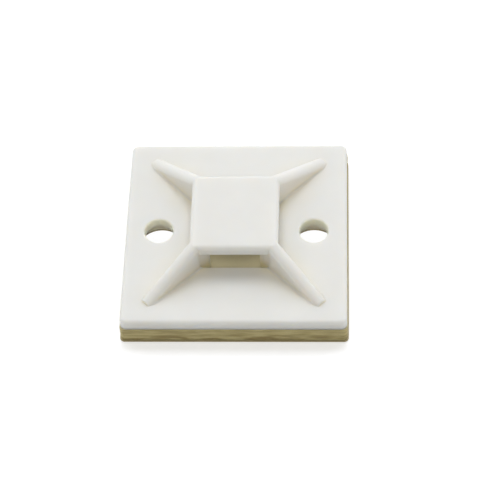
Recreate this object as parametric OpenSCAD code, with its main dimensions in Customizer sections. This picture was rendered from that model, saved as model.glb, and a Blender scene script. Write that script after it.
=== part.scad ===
// Self-adhesive cable tie mount with two screw holes.
// A tie goes in at any of the four windows, passes under the raised cap and comes out at the
// window opposite. Four ribs carry the cap's load out to the corners of the base plate.
// Origin: bottom centre of the stack, +Z up, +X through the screw holes. Millimetres.

/* [Base plate] */
// Width of the base plate, along the line of the screw holes
base_w = 28; // [26:0.5:40]
// Depth of the base plate
base_d = 28; // [26:0.5:40]
// Thickness of the base plate
base_t = 1.5; // [1.2:0.1:2.5]
// Radius of the base plate's corners, seen from above
base_corner_r = 0.8; // [0.7:0.1:3]
// Radius along the base plate's upper edge
base_edge_r = 0.5; // [0.2:0.05:0.6]

/* [Raised cap] */
// Width of the cap
cap_w = 11; // [9:0.25:12]
// Depth of the cap
cap_d = 11.5; // [9:0.25:12]
// Thickness of the cap
cap_t = 1.4; // [1.2:0.1:2.5]
// Radius of the cap's corners, seen from above
cap_corner_r = 0.7; // [0.7:0.05:1]
// Radius along the cap's upper edge
cap_edge_r = 0.6; // [0.2:0.05:0.65]
// Height of the tie windows, from the base plate to the cap
window_h = 2.75; // [1.5:0.25:5]
// How far the cap's left and right edges reach out past the opening in the base plate
opening_lap = 0.15; // [0.05:0.05:0.5]

/* [Ribs] */
// Width of a rib, where its sides would meet the level of its ridge
rib_w = 1.65; // [1.3:0.05:2.2]
// Width of the flat along the ridge. The edges beside it are rounded down to the sides.
rib_flat_w = 0.1; // [0.05:0.05:0.8]
// Draft of a rib's two sides, in degrees
rib_draft = 1; // [0.5:0.25:4]
// Height of the ridge above the base plate at the rib's tip
rib_tip_h = 0.3; // [0.1:0.05:0.6]
// Radius of the nose that ends the ridge there
rib_nose_r = 0.3; // [0.15:0.05:0.5]
// Radius that blends a rib's two sides into the base plate
rib_foot_r = 0.3; // [0.15:0.05:0.5]
// How far a rib's tip lies out from the centre, along the width and along the depth
rib_reach = 11.05; // [10:0.05:12]
// How far a leg reaches in under the cap from the cap's corner
leg_depth = 2.8; // [2:0.1:4]
// Radius of a leg's inner corners, seen from above
leg_corner_r = 0.4; // [0.2:0.05:0.6]

/* [Screw holes] */
// Diameter of the two screw holes
screw_hole_d = 3.6; // [2.5:0.1:4.5]
// Distance between the screw holes' centres
screw_spacing = 19.6; // [18:0.2:20]
// Radius that rounds the rim of each screw hole
screw_rim_r = 0.25; // [0.1:0.05:0.4]

/* [Adhesive pad] */
// Thickness of the foam
foam_t = 2.36; // [0.8:0.02:3]
// How far the pad stands out past the base plate, all round
foam_lap = 0.2; // [0.05:0.05:0.5]
// Radius of the pad's corners, seen from above
foam_corner_r = 0.6; // [0.4:0.1:3]
// Play between each screw hole and the cut-out under it, all round
foam_hole_play = 1.2; // [0.5:0.1:1.5]
// Thickness of the paper release liner
liner_t = 0.12; // [0.08:0.02:0.3]

/* [Hidden] */
$fn = 64;

// Levels, from the ground up
foam_z = liner_t;
base_z = foam_z + foam_t;
floor_z = base_z + base_t;
cap_z = floor_z + window_h;
top_z = cap_z + cap_t;

// Each cut runs past the faces that it goes through by this much
over = 1;
// The ridges run into the cap this far below its upper face
ridge_sink = 0.03;
// A leg's sides stay in this far from its rib's sides
leg_step = 0.05;
// A rib's foot blends sink this far into the faces that they join
blend_sink = 0.004;

// The ribs run out at 45 degrees through the cap's corners, this far beside the centre
rib_offset = (cap_d - cap_w) / 2 / sqrt(2);
// These distances are measured out along a rib, from the centre
tip_at = rib_reach * sqrt(2);
corner_at = (cap_w + cap_d) / 2 / sqrt(2);
leg_at = corner_at - leg_depth;
// Centre of the round upper edge at the cap's corner
round_at = corner_at - cap_corner_r * sqrt(2) + cap_corner_r - cap_edge_r;
round_z = top_z - cap_edge_r;

// The ridge leaves the cap's round edge as a tangent and runs straight down to the rib's tip
ridge_run = tip_at - round_at;
ridge_rise = round_z - floor_z - rib_tip_h;
ridge_slope = atan(ridge_rise / ridge_run) + asin(cap_edge_r / norm([ridge_run, ridge_rise]));
ridge_len = sqrt(ridge_run * ridge_run + ridge_rise * ridge_rise - cap_edge_r * cap_edge_r);
// A rib is drawn this deep, measured square to its ridge, and is cut off at the plate's underside
rib_deep = (tip_at - leg_at) * sin(ridge_slope) + 2 * base_t;
// The round edges beside the ridge touch its flat and the drafted sides
ridge_edge_x = rib_flat_w / 2;
rib_edge_r = (rib_w / 2 - ridge_edge_x) * cos(rib_draft) / (1 - sin(rib_draft));

// Centre height of the nose, which touches the ridge and the rib's upright end
nose_z = floor_z + rib_tip_h - rib_nose_r * (1 - sin(ridge_slope)) / cos(ridge_slope);

// A rib's side meets the plate along a line that starts this far from the rib's middle
foot_y = rib_w / 2 + rib_tip_h * cos(ridge_slope) * tan(rib_draft);
// and turns this far away from the rib's axis
foot_turn = atan(tan(rib_draft) * sin(ridge_slope));
// Angle there between the side and the plate, through the air
foot_angle = 90 + asin(sin(rib_draft) * cos(ridge_slope));
// The blend starts this far from that line, on the plate and on the side
foot_reach = rib_foot_r / tan(foot_angle / 2);

// A leg is nearly as wide as its rib is at the cap's lower face
leg_w = rib_w + 2 * (cap_t * cos(ridge_slope) * tan(rib_draft) - leg_step);
// Size of the opening in the plate
opening_w = cap_w - 2 * opening_lap;
opening_d = cap_d;

// Outline of the pad and its liner
pad_w = base_w + 2 * foam_lap;
pad_d = base_d + 2 * foam_lap;

// Section of a slab of width w and height h whose two upper edges are rounded
module slab_section(w, h, edge_r) {
    translate([-w / 2, 0]) square([w, h - edge_r]);
    translate([-w / 2 + edge_r, 0]) square([w - 2 * edge_r, h]);
    for (side = [-1, 1]) {
        translate([side * (w / 2 - edge_r), h - edge_r]) circle(edge_r);
    }
}

// Slab that stands on z = 0, with round corners and a round upper edge
module rounded_slab(w, d, h, corner_r, edge_r) {
    translate([-w / 2 + corner_r, 0, 0]) rotate([90, 0, 90])
        linear_extrude(w - 2 * corner_r) slab_section(d, h, edge_r);
    translate([0, d / 2 - corner_r, 0]) rotate([90, 0, 0])
        linear_extrude(d - 2 * corner_r) slab_section(w, h, edge_r);
    for (x = [-1, 1], y = [-1, 1]) {
        translate([x * (w / 2 - corner_r), y * (d / 2 - corner_r), 0]) rotate_extrude()
            intersection() {
                slab_section(2 * corner_r, h, edge_r);
                square([corner_r, h]);
            }
    }
}

// Sheet that stands on z = 0, with round corners and square edges
module sheet(w, d, h, corner_r) {
    translate([-w / 2 + corner_r, -d / 2, 0]) cube([w - 2 * corner_r, d, h]);
    translate([-w / 2, -d / 2 + corner_r, 0]) cube([w, d - 2 * corner_r, h]);
    for (x = [-1, 1], y = [-1, 1]) {
        translate([x * (w / 2 - corner_r), y * (d / 2 - corner_r), 0]) cylinder(h, corner_r, corner_r);
    }
}

// Section of a rib, square to its ridge: drafted sides and a flat ridge with round edges at y = 0
module rib_section() {
    side_x = ridge_edge_x + rib_edge_r * cos(rib_draft);
    side_y = -rib_edge_r + rib_edge_r * sin(rib_draft);
    foot_x = rib_w / 2 + rib_deep * tan(rib_draft);
    polygon([
        [-foot_x, -rib_deep], [foot_x, -rib_deep], [side_x, side_y],
        [ridge_edge_x, 0], [-ridge_edge_x, 0], [-side_x, side_y]
    ]);
    for (side = [-1, 1]) {
        translate([side * ridge_edge_x, -rib_edge_r]) circle(rib_edge_r);
    }
}

// Section of what a foot blend may fill beside the ridge: the space under a plane that leaves the
// ridge's round edge at 45 degrees, so that the blend fades out towards the rib's tip
module fade_section() {
    edge_x = ridge_edge_x + rib_edge_r * cos(45);
    edge_y = -rib_edge_r + rib_edge_r * sin(45) - blend_sink;
    polygon([[-edge_x, edge_y], [-edge_x - rib_deep - edge_y, -rib_deep], [-edge_x, -rib_deep]]);
}

// Runs a section along a ridge on the +X axis, from a little past the rib's tip up into the cap
module along_ridge() {
    past_tip = base_t;
    translate([tip_at, 0, floor_z + rib_tip_h]) rotate([0, ridge_slope, 0]) translate([past_tip, 0, 0])
        rotate([90, 0, -90]) linear_extrude(ridge_len + corner_at + past_tip) children();
}

// Side view of the space that a rib may fill: up to the cap, and out to the nose at its tip
module rib_profile() {
    top = top_z - ridge_sink;
    nose_x = tip_at - rib_nose_r;
    nose_end = [nose_x + rib_nose_r * sin(ridge_slope), nose_z + rib_nose_r * cos(ridge_slope)];
    polygon([
        [leg_at, base_z], [tip_at, base_z], [tip_at, nose_z], nose_end,
        [nose_end[0], top], [leg_at, top]
    ]);
    translate([nose_x, nose_z + blend_sink]) circle(rib_nose_r);
}

// Rib on the +X axis. Its ridge runs into the cap just under the cap's upper face.
module rib() {
    span = 2 * rib_w;
    intersection() {
        along_ridge() rib_section();
        translate([0, span, 0]) rotate([90, 0, 0]) linear_extrude(2 * span) rib_profile();
    }
}

// Blend between the plate and the +Y side of the rib on the +X axis
module foot_blend() {
    length = tip_at - leg_at / 2;
    inner_x = ridge_edge_x - foot_y;
    side_x = foot_reach * cos(foot_angle);
    side_y = foot_reach * sin(foot_angle);
    intersection() {
        translate([tip_at, foot_y, floor_z]) rotate([90, 0, 90 - foot_turn])
            translate([0, 0, -length]) linear_extrude(length) difference() {
                polygon([
                    [inner_x, -base_t / 2], [foot_reach, -base_t / 2], [foot_reach, 0],
                    [side_x, side_y], [inner_x, side_y]
                ]);
                translate([foot_reach - blend_sink, rib_foot_r - blend_sink]) circle(rib_foot_r);
            }
        along_ridge() fade_section();
    }
}

// Leg that carries the cap's corner on the +X axis. It stands in the opening's corner, and its outer
// end is sunk into the rib.
module leg() {
    length = leg_depth + leg_corner_r;
    height = cap_z + ridge_sink - base_z;
    translate([leg_at + length / 2, 0, base_z]) sheet(length, leg_w, height, leg_corner_r);
}

// Screw hole through the base plate, with its rim rounded into the plate's upper face
module screw_cut() {
    hole_r = screw_hole_d / 2;
    translate([0, 0, base_z - over]) cylinder(base_t + 2 * over, hole_r, hole_r);
    translate([0, 0, floor_z - screw_rim_r]) rotate_extrude() difference() {
        square([hole_r + screw_rim_r, screw_rim_r + over]);
        translate([hole_r + screw_rim_r, 0]) circle(screw_rim_r);
    }
}

// Both screw positions
module at_screws() {
    for (side = [-1, 1]) {
        translate([side * screw_spacing / 2, 0, 0]) children();
    }
}

// The mould's core comes up through the plate here to form the space under the cap
module opening() {
    top = cap_z + ridge_sink;
    translate([-opening_w / 2, -opening_d / 2, base_z - over])
        cube([opening_w, opening_d, top - base_z + over]);
}

// The cap's four corners, each with +X pointing out along its rib
module at_corners() {
    for (flip_x = [0, 1], flip_y = [0, 1]) {
        mirror([flip_x, 0, 0]) mirror([0, flip_y, 0]) rotate(45) translate([0, rib_offset, 0]) children();
    }
}

// Moulded body: base plate, four ribs with their legs and the cap, all one piece
module mount() {
    color("ivory") difference() {
        union() {
            difference() {
                union() {
                    translate([0, 0, base_z])
                        rounded_slab(base_w, base_d, base_t, base_corner_r, base_edge_r);
                    at_corners() {
                        rib();
                        foot_blend();
                        mirror([0, 1, 0]) foot_blend();
                    }
                }
                opening();
            }
            at_corners() leg();
            translate([0, 0, cap_z]) rounded_slab(cap_w, cap_d, cap_t, cap_corner_r, cap_edge_r);
        }
        at_screws() screw_cut();
    }
}

// Cut-out through the pad and its liner, so that a screw clears both
module pad_cut() {
    cut_r = screw_hole_d / 2 + foam_hole_play;
    translate([0, 0, -over]) cylinder(base_z + 2 * over, cut_r, cut_r);
}

// Foam pad, sticky on both faces and a little wider than the base plate
module foam_pad() {
    color("darkkhaki") difference() {
        translate([0, 0, foam_z]) sheet(pad_w, pad_d, foam_t, foam_corner_r);
        at_screws() pad_cut();
    }
}

// Paper that covers the lower sticky face until the mount is used
module release_liner() {
    color("khaki") difference() {
        sheet(pad_w, pad_d, liner_t, foam_corner_r);
        at_screws() pad_cut();
    }
}

mount();
foam_pad();
release_liner();
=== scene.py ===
import bpy
from math import cos, radians, sin
from mathutils import Matrix, Vector, noise


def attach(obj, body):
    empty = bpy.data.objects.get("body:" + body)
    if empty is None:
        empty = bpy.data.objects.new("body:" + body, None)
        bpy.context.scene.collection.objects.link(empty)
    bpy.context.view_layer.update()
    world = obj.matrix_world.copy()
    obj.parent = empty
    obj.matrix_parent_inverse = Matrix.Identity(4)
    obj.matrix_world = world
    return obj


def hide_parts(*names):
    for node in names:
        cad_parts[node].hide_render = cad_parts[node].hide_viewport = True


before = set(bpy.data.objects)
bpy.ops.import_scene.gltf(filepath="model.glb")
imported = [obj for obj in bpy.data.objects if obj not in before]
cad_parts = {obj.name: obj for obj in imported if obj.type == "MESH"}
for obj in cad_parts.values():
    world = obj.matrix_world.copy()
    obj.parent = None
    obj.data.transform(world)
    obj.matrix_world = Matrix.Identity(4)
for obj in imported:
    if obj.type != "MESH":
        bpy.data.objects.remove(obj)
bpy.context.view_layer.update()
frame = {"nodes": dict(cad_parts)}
print("frame loaded:", ", ".join(frame["nodes"]))
mm = 0.001
screwDistance = 9.8    # mm, from the middle to each screw hole's axis
scene = bpy.context.scene


def deselect():
    bpy.ops.object.select_all(action="DESELECT")


# Camera
cameraSetup = {
    "azimuth": 5.08,       # degrees to the right of straight in front
    "elevation": 53.93,
    "roll": -4.18,
    "distance": 246.68,    # mm from the point looked at
    "lookAt": (0.67, -1.94, 2.48),
    "lens": 140.5,
    "sensor": 36,          # mm wide
    "nearest": 10,         # mm, nothing closer is drawn
}


def addCamera(setup):
    azimuth, elevation, roll = (radians(setup[k]) for k in ("azimuth", "elevation", "roll"))
    back = Vector((sin(azimuth) * cos(elevation), -cos(azimuth) * cos(elevation), sin(elevation)))
    target = Vector(setup["lookAt"]) * mm
    data = bpy.data.cameras.new("camera")
    data.lens = setup["lens"]
    data.sensor_width = setup["sensor"]
    data.clip_start = setup["nearest"] * mm
    camera = bpy.data.objects.new("camera", data)
    scene.collection.objects.link(camera)
    right = (-back).cross(Vector((0, 0, 1))).normalized()
    up = right.cross(-back)
    turnedRight = right * cos(roll) + up * sin(roll)
    turnedUp = up * cos(roll) - right * sin(roll)
    axes = Matrix((turnedRight, turnedUp, back)).transposed().to_4x4()
    camera.matrix_world = Matrix.Translation(target + back * setup["distance"] * mm) @ axes
    scene.camera = camera


addCamera(cameraSetup)
print("camera placed")


# Node helpers
def newMaterial(name):
    material = bpy.data.materials.new(name)
    material.use_nodes = True
    return material, material.node_tree.nodes, material.node_tree.links


def addNode(nodes, kind, place, **settings):
    node = nodes.new(kind)
    node.location = place
    for key, value in settings.items():
        setattr(node, key, value)
    return node


def setInputs(node, **values):
    for key, value in values.items():
        node.inputs[key.replace("_", " ")].default_value = value


# A socket takes a link from another socket, or a plain value
def fill(links, socket, value):
    if isinstance(value, bpy.types.NodeSocket):
        links.new(value, socket)
    else:
        socket.default_value = value


def addMath(nodes, links, operation, values, place):
    node = addNode(nodes, "ShaderNodeMath", place, operation=operation)
    for socket, value in zip(node.inputs, values):
        fill(links, socket, value)
    return node.outputs[0]


# From the first colour to the second as the factor goes from 0 to 1. Each is a colour or a socket.
def addMix(nodes, links, factor, first, second, place):
    mix = addNode(nodes, "ShaderNodeMix", place, data_type="RGBA")
    for name, color in (("A", first), ("B", second)):
        fill(links, mix.inputs[name], (*color, 1) if isinstance(color, tuple) else color)
    links.new(factor, mix.inputs["Factor"])
    return mix.outputs["Result"]


def addShaderMix(nodes, links, factor, first, second, place):
    mix = addNode(nodes, "ShaderNodeMixShader", place)
    for socket, source in zip(mix.inputs, (factor, first, second)):
        links.new(source, socket)
    return mix.outputs[0]


# The source's values from fromRange are spread over toRange, and held at its ends
def addRange(nodes, links, source, fromRange, toRange, place):
    node = addNode(nodes, "ShaderNodeMapRange", place)
    setInputs(node, From_Min=fromRange[0], From_Max=fromRange[1],
              To_Min=toRange[0], To_Max=toRange[1])
    links.new(source, node.inputs["Value"])
    return node.outputs["Result"]


def addObjectPlace(nodes, place):
    return addNode(nodes, "ShaderNodeTexCoord", place).outputs["Object"]


# Node group with a vector input, and number sockets with the names given
def newGroup(name, inputs, outputs):
    group = bpy.data.node_groups.new(name, "ShaderNodeTree")
    group.interface.new_socket("Vector", in_out="INPUT", socket_type="NodeSocketVector")
    for side, names in (("INPUT", inputs), ("OUTPUT", outputs)):
        for socket in names:
            group.interface.new_socket(socket, in_out=side, socket_type="NodeSocketFloat")
    start = addNode(group.nodes, "NodeGroupInput", (-900, 0))
    end = addNode(group.nodes, "NodeGroupOutput", (300, 0))
    return group, start, end


# Surface noise that every material shares: a fine grain for the bump and a soft blotch
grainSetup = {
    "fineRoughness": 0.6,
    "softRoughness": 0.5,
    "softDetail": 2.0,
}


def makeGrainGroup(setup):
    inputs = ("Grain Scale", "Blotch Scale", "Grain Detail")
    group, start, end = newGroup("surfaceGrain", inputs, ("Grain", "Blotch"))
    nodes, links = group.nodes, group.links
    fine = addNode(nodes, "ShaderNodeTexNoise", (-200, 150))
    setInputs(fine, Roughness=setup["fineRoughness"])
    soft = addNode(nodes, "ShaderNodeTexNoise", (-200, -150))
    setInputs(soft, Detail=setup["softDetail"], Roughness=setup["softRoughness"])
    for texture, scale in ((fine, "Grain Scale"), (soft, "Blotch Scale")):
        links.new(start.outputs["Vector"], texture.inputs["Vector"])
        links.new(start.outputs[scale], texture.inputs["Scale"])
    links.new(start.outputs["Grain Detail"], fine.inputs["Detail"])
    links.new(fine.outputs["Fac"], end.inputs["Grain"])
    links.new(soft.outputs["Fac"], end.inputs["Blotch"])
    return group


# Mask of what lies close round the two screw holes' axes
def makeHoleGroup():
    group, start, end = newGroup("nearHoles", ("Hole Distance", "Outer", "Inner"), ("Mask",))
    nodes, links = group.nodes, group.links
    split = addNode(nodes, "ShaderNodeSeparateXYZ", (-720, 0))
    links.new(start.outputs["Vector"], split.inputs[0])
    either = addMath(nodes, links, "ABSOLUTE", (split.outputs["X"],), (-540, 100))
    side = addMath(nodes, links, "SUBTRACT", (either, start.outputs["Hole Distance"]), (-360, 100))
    flat = addNode(nodes, "ShaderNodeCombineXYZ", (-200, 0))
    links.new(side, flat.inputs["X"])
    links.new(split.outputs["Y"], flat.inputs["Y"])
    away = addNode(nodes, "ShaderNodeVectorMath", (-40, 0), operation="LENGTH")
    links.new(flat.outputs[0], away.inputs[0])
    mask = addNode(nodes, "ShaderNodeMapRange", (130, 0))
    links.new(away.outputs["Value"], mask.inputs["Value"])
    links.new(start.outputs["Outer"], mask.inputs["From Min"])
    links.new(start.outputs["Inner"], mask.inputs["From Max"])
    links.new(mask.outputs["Result"], end.inputs["Mask"])
    return group


grainGroup = makeGrainGroup(grainSetup)
holeGroup = makeHoleGroup()
grainRange = (0.3, 0.7)    # of the noise, spread over a material's roughness
fullRange = (0, 1)


def addHoleMask(nodes, links, reach, place):
    mask = addNode(nodes, "ShaderNodeGroup", place, node_tree=holeGroup)
    setInputs(mask, Hole_Distance=screwDistance * mm, Outer=reach[0], Inner=reach[1])
    links.new(addObjectPlace(nodes, (place[0] - 200, place[1])), mask.inputs["Vector"])
    return mask.outputs["Mask"]


# What every material has: two shades in soft blotches, and a grain in its roughness and bump.
# Gives back the shader, the colour so far and the blotches.
def addSurface(nodes, links, setup):
    shader = nodes["Principled BSDF"]
    mapping = addNode(nodes, "ShaderNodeMapping", (-1000, 0))
    mapping.inputs["Scale"].default_value = setup["stretch"]
    links.new(addObjectPlace(nodes, (-1200, 0)), mapping.inputs["Vector"])
    surface = addNode(nodes, "ShaderNodeGroup", (-800, 0), node_tree=grainGroup)
    setInputs(surface, Grain_Scale=setup["grainScale"], Blotch_Scale=setup["blotchScale"],
              Grain_Detail=setup["grainDetail"])
    links.new(mapping.outputs["Vector"], surface.inputs["Vector"])
    grain, blotch = surface.outputs["Grain"], surface.outputs["Blotch"]

    rough = addRange(nodes, links, grain, grainRange, setup["roughness"], (-550, -50))
    links.new(rough, shader.inputs["Roughness"])
    bump = addNode(nodes, "ShaderNodeBump", (-300, -400))
    setInputs(bump, Strength=setup["bump"], Distance=setup["grainDepth"])
    links.new(grain, bump.inputs["Height"])
    links.new(bump.outputs["Normal"], shader.inputs["Normal"])
    spread = addRange(nodes, links, blotch, setup["blotchRange"], fullRange, (-550, 200))
    color = addMix(nodes, links, spread, setup["color"], setup["shade"], (-300, 300))
    return shader, color, blotch


# Light goes some way into the material and comes out again
def addGlow(shader, setup):
    setInputs(shader, Subsurface_Weight=setup["glow"], Subsurface_Scale=setup["glowDepth"],
              Subsurface_Radius=setup["glowRadius"])


# Nylon: natural, undyed, from a finely eroded mould. It is milky, so light goes some way into it.
# Painted shade makes it warmer and darker in nooks and warmer still in deep places, and painted
# light makes the walls of its screw holes paler.
nylonSetup = {
    "color": (0.815, 0.812, 0.792),
    "shade": (0.795, 0.79, 0.765),
    "blotchScale": 220,      # per metre
    "blotchRange": (0.3, 0.7),
    "stretch": (1, 1, 1),
    "grainScale": 7000,      # per metre
    "grainDetail": 2,
    "grainDepth": 0.006 * mm,
    "bump": 0.6,
    "roughness": (0.46, 0.56),
    "refraction": 1.53,
    "glow": 1.0,             # share of light that enters the plastic
    "glowDepth": 1.2 * mm,
    "glowRadius": (1.0, 0.92, 0.8),    # share of that depth for red, green and blue
    "nookReach": 3.5 * mm,   # how far off another face still closes a nook
    "nookSamples": 8,
    # Painted shade: warmer and darker where a point sees little open sky, in nooks and creases
    "nookPaintedShade": (0.81, 0.765, 0.66),
    "nookPaintedShadeRange": (1.0, 0.4),    # share of open sky at which the painted shade starts, and is full
    # Painted shade: a warmer tint still, in the deepest places
    "deepPaintedShade": (0.91, 0.835, 0.57),
    "deepPaintedShadeRange": (0.62, 0.3),
    "holePaintedLight": (0.975, 0.935, 0.79),    # painted light: walls of the screw holes drawn paler, as if lit from below
    "holePaintedLightReach": (2.0 * mm, 1.84 * mm),   # from the axis, where that starts and is full
}


def makeNylon(setup):
    material, nodes, links = newMaterial("naturalNylon")
    shader, color, _ = addSurface(nodes, links, setup)
    # Painted shade from how much open sky each point sees: warmer and darker in nooks, warmer
    # still in deep places
    openSky = addNode(nodes, "ShaderNodeAmbientOcclusion", (-800, 500),
                      samples=setup["nookSamples"])
    setInputs(openSky, Distance=setup["nookReach"])
    nookShade, deepShade = (addRange(nodes, links, openSky.outputs["AO"], setup[key], fullRange, place)
                  for key, place in (("nookPaintedShadeRange", (-500, 600)), ("deepPaintedShadeRange", (-300, 600))))
    # Painted light: the walls of the screw holes are drawn paler, as if lit from below
    paintedWallLight = addHoleMask(nodes, links, setup["holePaintedLightReach"], (-300, 800))
    layers = (("nookPaintedShade", nookShade), ("deepPaintedShade", deepShade), ("holePaintedLight", paintedWallLight))
    for step, (name, mask) in enumerate(layers):
        color = addMix(nodes, links, mask, color, setup[name], (-300 + 180 * step, 500))
    links.new(color, shader.inputs["Base Color"])
    setInputs(shader, IOR=setup["refraction"])
    addGlow(shader, setup)
    return material


# Foam: closed-cell, yellowish. Its cut sides show the cells in level streaks. Painted shade
# darkens their lower part and their foot, where they meet the liner, and painted light makes the
# upper face and the walls of the cut-outs paler.
foamSetup = {
    "color": (0.56, 0.48, 0.235),
    "shade": (0.385, 0.315, 0.14),
    "blotchScale": 380,      # per metre
    "blotchRange": (0.35, 0.65),
    "stretch": (1, 1, 6.5),  # draws the cells out into level streaks
    "grainScale": 2600,      # per metre
    "grainDetail": 3,
    "grainDepth": 0.05 * mm,
    "bump": 0.8,
    "roughness": (0.6, 0.9),
    "glow": 0.35,            # share of light that enters the foam
    "glowDepth": 0.5 * mm,
    "glowRadius": (1.0, 0.85, 0.55),
    "lowStreakAndShade": (0.29, 0.215, 0.08),      # brown streaks kept to the lower part: partly the cells' own streaks, partly painted shade that darkens it
    "lowRange": (1.5 * mm, 0.5 * mm),     # heights at which they start, and are full
    "streakRange": (0.42, 0.62),
    # Painted shade: the foot of the cut sides is darker, where they meet the liner and floor
    "footPaintedShade": (0.30, 0.27, 0.14),
    "footPaintedShadeRange": (0.45 * mm, 0.2 * mm),
    "wallPaintedLight": (0.97, 0.92, 0.76),      # painted light: walls of the two cut-outs drawn paler, as if lit from below
    "wallPaintedLightReach": (3.25 * mm, 3.12 * mm),
    "facePaintedLight": (0.63, 0.575, 0.38),     # painted light: upper face drawn paler, though it lies in shade under the cap
    "facePaintedLightRange": (2.44 * mm, 2.47 * mm),
}


def makeFoam(setup):
    material, nodes, links = newMaterial("foamCells")
    shader, color, blotch = addSurface(nodes, links, setup)
    split = addNode(nodes, "ShaderNodeSeparateXYZ", (-1600, 500))
    links.new(addObjectPlace(nodes, (-1800, 500)), split.inputs[0])
    low, footShade, face = (
        addRange(nodes, links, split.outputs["Z"], setup[key], fullRange, (-1400, up))
        for key, up in (("lowRange", 500), ("footPaintedShadeRange", 700), ("facePaintedLightRange", 300)))
    streak = addRange(nodes, links, blotch, setup["streakRange"], fullRange, (-550, 400))
    lowStreakShade = addMath(nodes, links, "MULTIPLY", (streak, low), (-350, 500))
    paintedWallLight = addHoleMask(nodes, links, setup["wallPaintedLightReach"], (-650, 950))
    # Painted shade darkens the lower part and foot of the cut sides; painted light makes the
    # cut-out walls and upper face paler
    layers = (("lowStreakAndShade", lowStreakShade), ("footPaintedShade", footShade),
              ("wallPaintedLight", paintedWallLight), ("facePaintedLight", face))
    for step, (name, mask) in enumerate(layers):
        color = addMix(nodes, links, mask, color, setup[name], (-150 + 180 * step, 500))
    links.new(color, shader.inputs["Base Color"])
    addGlow(shader, setup)
    return material


# Release liner: thin siliconed paper
linerSetup = {
    "color": (0.50, 0.42, 0.24),
    "shade": (0.42, 0.35, 0.19),
    "blotchScale": 600,      # per metre
    "blotchRange": (0.3, 0.7),
    "stretch": (1, 1, 1),
    "grainScale": 9000,      # per metre
    "grainDetail": 2,
    "grainDepth": 0.003 * mm,
    "bump": 0.5,
    "roughness": (0.3, 0.45),
}


def makeLiner(setup):
    material, nodes, links = newMaterial("linerPaper")
    shader, color, _ = addSurface(nodes, links, setup)
    links.new(color, shader.inputs["Base Color"])
    return material


nylon, foam, liner = makeNylon(nylonSetup), makeFoam(foamSetup), makeLiner(linerSetup)
for name, material in (("mount", nylon), ("release_liner", liner)):
    node = frame["nodes"][name]
    node.data.materials.clear()
    node.data.materials.append(material)
print("materials made")


# Foam pad: die-cut from thick sheet, so that its cut sides waver and show the cells
padSetup = {
    "size": 28.22,            # mm, along each side
    "bottom": 0.12,           # mm, the liner's thickness
    "height": 2.36,
    "cornerRadius": 0.6,
    "cornerSteps": 8,
    "holeRadius": 3.0,
    "holeSteps": 120,
    "sideSteps": 136,
    "rows": 14,
    "edgeRound": 0.07,        # mm that the cut edges pull in
    "edgeBand": 0.2,          # share of half the height over which they do
    "wander": 0.05,           # mm that the cut sides swell and dip
    "wanderScale": (0.35, 0.35, 1.3),    # swells per mm
    "cells": 0.022,           # mm deep
    "cellScale": (2.2, 2.2, 5.5),        # cells per mm
    "wallMargin": 1.02,       # a point within this share of a hole's radius is on its wall
    "smoothAngle": 50,        # degrees
}


def selectEdges(mesh, chosen):
    bpy.ops.mesh.select_all(action="DESELECT")
    bpy.ops.object.mode_set(mode="OBJECT")
    for edge in mesh.edges:
        first, second = (mesh.vertices[i].co for i in edge.vertices)
        edge.select = chosen(first, second)
    bpy.ops.object.mode_set(mode="EDIT")


def stampPad(setup):
    size, bottom, height, corner, holeRadius = (
        setup[k] * mm for k in ("size", "bottom", "height", "cornerRadius", "holeRadius"))
    deselect()
    bpy.ops.mesh.primitive_plane_add(size=size, location=(0, 0, 0))
    pad = bpy.context.object
    pad.name = pad.data.name = "padFoam"
    mesh = pad.data
    bpy.ops.object.mode_set(mode="EDIT")
    bpy.ops.mesh.select_mode(type="EDGE")
    bpy.ops.mesh.select_all(action="SELECT")
    bpy.ops.mesh.bevel(affect="VERTICES", offset=corner, segments=setup["cornerSteps"])

    # The outline's long sides are cut up, and the two holes are drawn inside it
    bpy.ops.mesh.select_all(action="SELECT")
    bpy.ops.mesh.delete(type="ONLY_FACE")
    selectEdges(mesh, lambda a, b: (a - b).length > size / 2)
    bpy.ops.mesh.subdivide(number_cuts=setup["sideSteps"] - 1)
    for side in (-1, 1):
        bpy.ops.mesh.primitive_circle_add(vertices=setup["holeSteps"], radius=holeRadius,
                                          location=(side * screwDistance * mm, 0, 0))
    bpy.ops.mesh.select_all(action="SELECT")
    bpy.ops.mesh.fill()

    # The flat shape is pulled up to the sheet's thickness, with rows of points in its sides
    bpy.ops.mesh.select_all(action="SELECT")
    bpy.ops.mesh.extrude_region_move(TRANSFORM_OT_translate={"value": (0, 0, height)})
    selectEdges(mesh, lambda a, b: abs(a.z - b.z) > height / 2)
    bpy.ops.mesh.subdivide(number_cuts=setup["rows"] - 1)
    bpy.ops.mesh.select_all(action="SELECT")
    bpy.ops.transform.translate(value=(0, 0, bottom))
    bpy.ops.mesh.normals_make_consistent(inside=False)
    bpy.ops.object.mode_set(mode="OBJECT")
    return pad


# Direction in which a cut side looks, at a point on it
def outward(x, y, setup):
    holeAt = (screwDistance if x > 0 else -screwDistance) * mm
    fromHole = Vector((x - holeAt, y, 0))
    if fromHole.length < setup["holeRadius"] * mm * setup["wallMargin"]:
        return -fromHole.normalized()
    straight = (setup["size"] / 2 - setup["cornerRadius"]) * mm
    nearest = Vector((max(-straight, min(straight, x)), max(-straight, min(straight, y)), 0))
    return (Vector((x, y, 0)) - nearest).normalized()


def noiseAt(point, scale):
    return noise.noise(Vector(p * k for p, k in zip(point, scale)))


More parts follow.
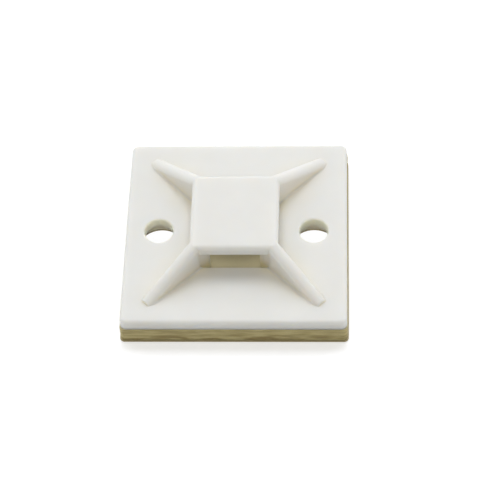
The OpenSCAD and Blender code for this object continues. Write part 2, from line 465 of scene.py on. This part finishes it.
# The cut sides are roughened, and their edges pull in
def roughenSides(pad, setup):
    for vertex in pad.data.vertices:
        x, y, z = vertex.co
        up = (z / mm - setup["bottom"]) / setup["height"]
        edge = max(0, abs(2 * up - 1) - 1 + setup["edgeBand"]) / setup["edgeBand"]
        point = vertex.co / mm
        rough = setup["wander"] * noiseAt(point, setup["wanderScale"])
        rough += setup["cells"] * noiseAt(point, setup["cellScale"])
        pull = setup["edgeRound"] * edge ** 2 + setup["wander"] / 2    # keeps swells in the size
        vertex.co += outward(x, y, setup) * (rough * (1 - edge) - pull) * mm


def makePad(setup, material):
    pad = stampPad(setup)
    roughenSides(pad, setup)
    bpy.ops.object.shade_smooth_by_angle(angle=radians(setup["smoothAngle"]))
    pad.data.materials.append(material)
    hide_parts("foam_pad")
    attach(pad, "root")
    return pad


pad = makePad(padSetup, foam)
print("pad made,", len(pad.data.vertices), "points")

# Floor: brighter to the camera than to the lamps, so that only the close shadow shows on white
floorSetup = {
    "size": 3.0,             # metres
    "color": (0.8, 0.8, 0.8),             # as the lamps see it
    "cameraColor": (0.94, 0.95, 0.98),    # as the camera sees it
    "cameraGlow": 0.35,      # what the camera sees besides, 1 is white
    "openHalf": 13.5,        # mm from the middle, the screw holes show plain white floor here
    "drop": 0.02,            # mm below the liner
}


def addFloor(setup):
    material, nodes, links = newMaterial("floor")
    nodes.clear()
    path = addNode(nodes, "ShaderNodeLightPath", (-600, 200)).outputs
    seen = addMath(nodes, links, "MAXIMUM", (path["Is Camera Ray"], path["Is Glossy Ray"]),
                   (-350, 200))
    seen = addMath(nodes, links, "MAXIMUM", (seen, path["Is Transmission Ray"]), (-180, 200))
    plain = addNode(nodes, "ShaderNodeBsdfDiffuse", (0, 100))
    plain.inputs["Color"].default_value = (*setup["color"], 1)
    lit = addNode(nodes, "ShaderNodeBsdfDiffuse", (0, -50))
    lit.inputs["Color"].default_value = (*setup["cameraColor"], 1)
    glow = addNode(nodes, "ShaderNodeEmission", (0, -200))
    glow.inputs["Strength"].default_value = setup["cameraGlow"]
    bright = addNode(nodes, "ShaderNodeAddShader", (200, -80))
    links.new(lit.outputs[0], bright.inputs[0])
    links.new(glow.outputs[0], bright.inputs[1])

    # Square under the part, which shows only through the screw holes
    split = addNode(nodes, "ShaderNodeSeparateXYZ", (-720, -300))
    links.new(addObjectPlace(nodes, (-900, -300)), split.inputs[0])
    sizes = [addMath(nodes, links, "ABSOLUTE", (split.outputs[axis],), (-540, down))
             for axis, down in (("X", -250), ("Y", -400))]
    larger = addMath(nodes, links, "MAXIMUM", sizes, (-360, -320))
    under = addMath(nodes, links, "LESS_THAN", (larger, setup["openHalf"] * mm), (-180, -320))
    white = addNode(nodes, "ShaderNodeEmission", (200, -200))
    shown = addShaderMix(nodes, links, under, bright.outputs[0], white.outputs[0], (380, -120))
    upper = addShaderMix(nodes, links, seen, plain.outputs[0], shown, (480, 80))

    # From below it is clear, so that the underside can be looked at
    sides = addNode(nodes, "ShaderNodeNewGeometry", (380, 320))
    clear = addNode(nodes, "ShaderNodeBsdfTransparent", (480, -80))
    both = addShaderMix(nodes, links, sides.outputs["Backfacing"], upper, clear.outputs[0],
                        (660, 150))
    out = addNode(nodes, "ShaderNodeOutputMaterial", (840, 150))
    links.new(both, out.inputs["Surface"])

    deselect()
    bpy.ops.mesh.primitive_plane_add(size=setup["size"], location=(0, 0, -setup["drop"] * mm))
    floor = bpy.context.object
    floor.name = "floor"
    floor.data.materials.append(material)


addFloor(floorSetup)

# Lamps: large softboxes high behind and high in front, one over each back corner, and low ones
# behind and on both sides. Each one's place is its direction, in degrees round from the front
# and degrees up.
lampDistance = 0.8    # metres
lampSetup = {
    "key": {"at": (180, 62), "size": (0.36, 0.30), "watts": 2.19, "color": (0.955, 0.975, 1)},
    "backLeft": {"at": (228, 40), "size": (0.34, 0.34), "watts": 0.93, "color": (0.96, 0.98, 1)},
    "backRight": {"at": (135, 36), "size": (0.34, 0.34), "watts": 0.955, "color": (0.97, 0.98, 1)},
    "backLow": {"at": (180, 36), "size": (0.30, 0.20), "watts": 0.225, "color": (1, 1, 1)},
    "frontTop": {"at": (0, 58), "size": (0.30, 0.30), "watts": 1.6, "color": (1, 0.978, 0.925)},
    "behind": {"at": (180, 8), "size": (0.50, 0.16), "watts": 0.56, "color": (1, 0.97, 0.94)},
    "left": {"at": (270, 9), "size": (0.50, 0.16), "watts": 1.0, "color": (1, 1, 0.98)},
    "right": {"at": (90, 9), "size": (0.50, 0.16), "watts": 0.92, "color": (1, 1, 0.99)},
}
worldSetup = {"color": (1, 1, 0.97), "strength": 0.222}


def addLamp(name, setup):
    around, up = (radians(angle) for angle in setup["at"])
    place = Vector((sin(around) * cos(up), -cos(around) * cos(up), sin(up))) * lampDistance
    deselect()
    bpy.ops.object.light_add(type="AREA", location=place)
    lamp = bpy.context.object
    lamp.name = name
    lamp.data.shape = "RECTANGLE"
    lamp.data.size, lamp.data.size_y = setup["size"]
    lamp.data.energy = setup["watts"]
    lamp.data.color = setup["color"]
    lamp.rotation_euler = place.to_track_quat("Z", "Y").to_euler()


def addWorld(setup):
    world = bpy.data.worlds.new("world")
    scene.world = world
    world.use_nodes = True
    background = world.node_tree.nodes["Background"]
    setInputs(background, Color=(*setup["color"], 1), Strength=setup["strength"])


for name, setup in lampSetup.items():
    addLamp(name, setup)
addWorld(worldSetup)
print("floor and lamps placed")

scene.view_settings.view_transform = "Standard"
